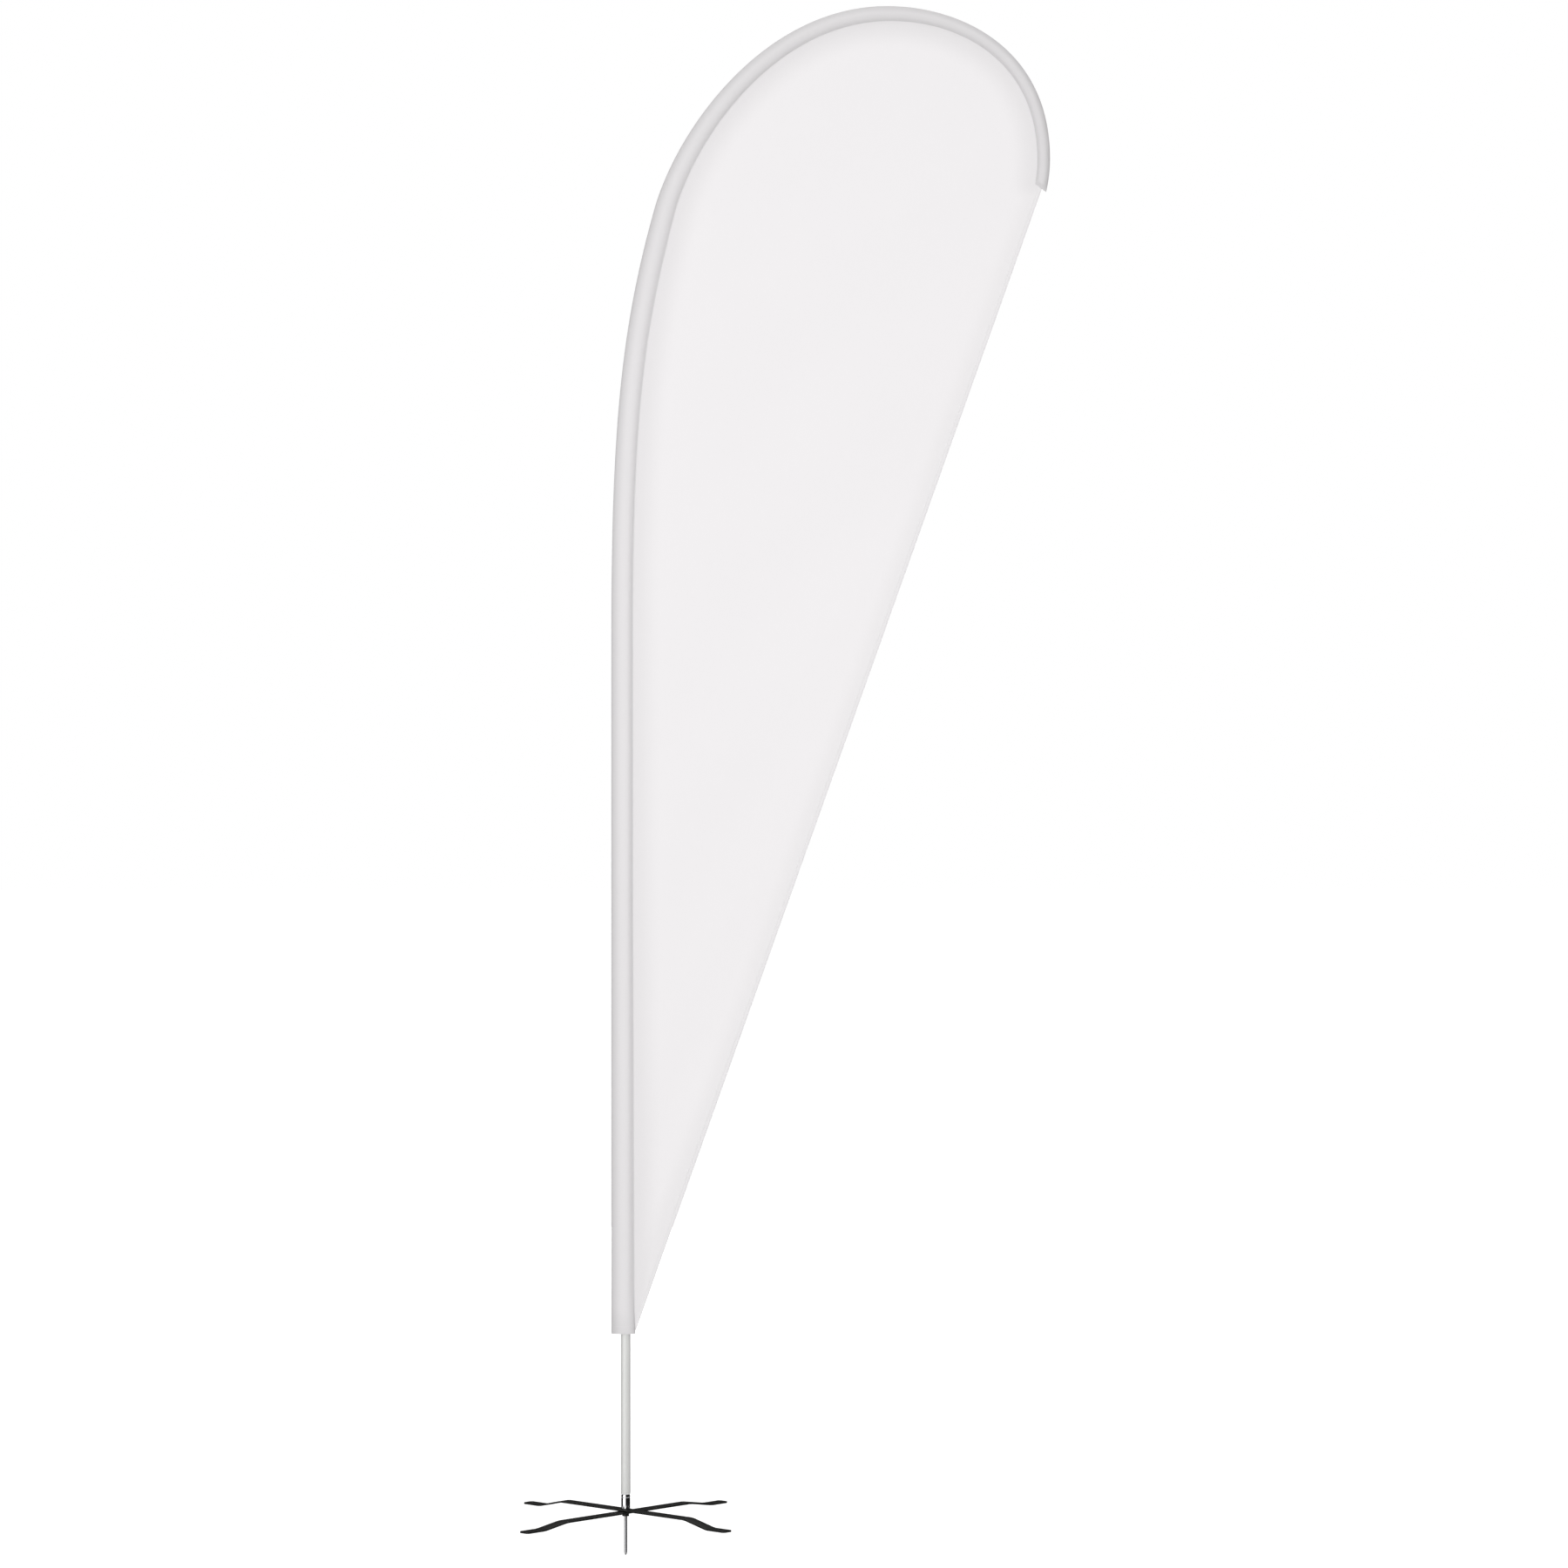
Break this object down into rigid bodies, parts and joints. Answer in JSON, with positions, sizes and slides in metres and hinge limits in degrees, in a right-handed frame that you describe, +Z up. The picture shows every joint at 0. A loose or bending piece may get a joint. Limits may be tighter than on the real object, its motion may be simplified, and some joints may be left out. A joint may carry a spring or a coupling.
{
  "type": "teardrop flag",
  "caption": "Blank teardrop flag on a bent, jointed pole that turns on a chrome spindle, over a folding cross base with a ground spike.",
  "frame": {"origin": "ground level on the spindle's axis, where the spike enters the soil", "axes": "+Z up the pole, +X the way the flag flies, +Y across the flag's face"},
  "size_m": [1.4017, 0.5628, 4.09],
  "materials": {
    "bright_steel": "bright zinc-plated steel, lightly brushed",
    "black_powder_coat": "black powder coat on steel, satin, fine orange peel",
    "nylon": "white nylon",
    "polished_chrome": "polished chrome plate",
    "sintered_bronze": "oiled sintered bronze",
    "satin_aluminium": "silver-grey satin anodised",
    "white_plastic": "white moulded plastic",
    "black_plastic": "black moulded plastic",
    "fibreglass": "white pultruded fibreglass",
    "sleeve_cloth": "white stretch polyester, doubled into a sleeve",
    "flag_cloth": "white knitted polyester, blank",
    "elastic": "white woven elastic",
    "webbing": "white webbing"
  },
  "bodies": {
    "base": {"ground_spike": "bright_steel", "hub_nut": "black_powder_coat", "pivot_stud": "bright_steel", "lower_leg_bar": "black_powder_coat", "fold_washer": "nylon", "thrust_washer": "nylon", "retaining_washer": "bright_steel", "retaining_screw": "bright_steel"},
    "fold_bar": {"upper_leg_bar": "black_powder_coat"},
    "spindle": {"spindle_barrel": "polished_chrome", "spindle_collar": "polished_chrome", "lower_bush": "sintered_bronze", "upper_bush": "sintered_bronze"},
    "lower_pole": {"lower_tube": "satin_aluminium", "pole_end_bush": "white_plastic", "pole_guide_bush": "nylon"},
    "flag": {"middle_tube": "satin_aluminium", "middle_stop_collar": "black_plastic", "upper_stop_collar": "black_plastic", "upper_rod": "fibreglass", "tip_ferrule": "satin_aluminium", "tip_rod": "fibreglass", "tip_cap": "black_plastic", "pole_sleeve": "sleeve_cloth", "sleeve_grip_band": "elastic", "tip_pocket": "webbing", "flag_panel": "flag_cloth"}
  },
  "joints": [
    {"name": "leg_fold", "type": "hinge", "parent": "base", "child": "fold_bar", "pos_m": [0, 0, 0.0204], "axis": [0, 0, 1], "range_deg": [-80, 80]},
    {"name": "flag_spin", "type": "hinge", "parent": "base", "child": "spindle", "pos_m": [0, 0, 0.04], "axis": [0, 0, 1], "continuous": true},
    {"name": "pole_lift", "type": "slide", "parent": "spindle", "child": "lower_pole", "axis": [0, 0, 1], "range_m": [0, 0.125]},
    {"name": "flag_lift", "type": "slide", "parent": "lower_pole", "child": "flag", "axis": [0, 0, 1], "range_m": [0, 0.1]}
  ]
}
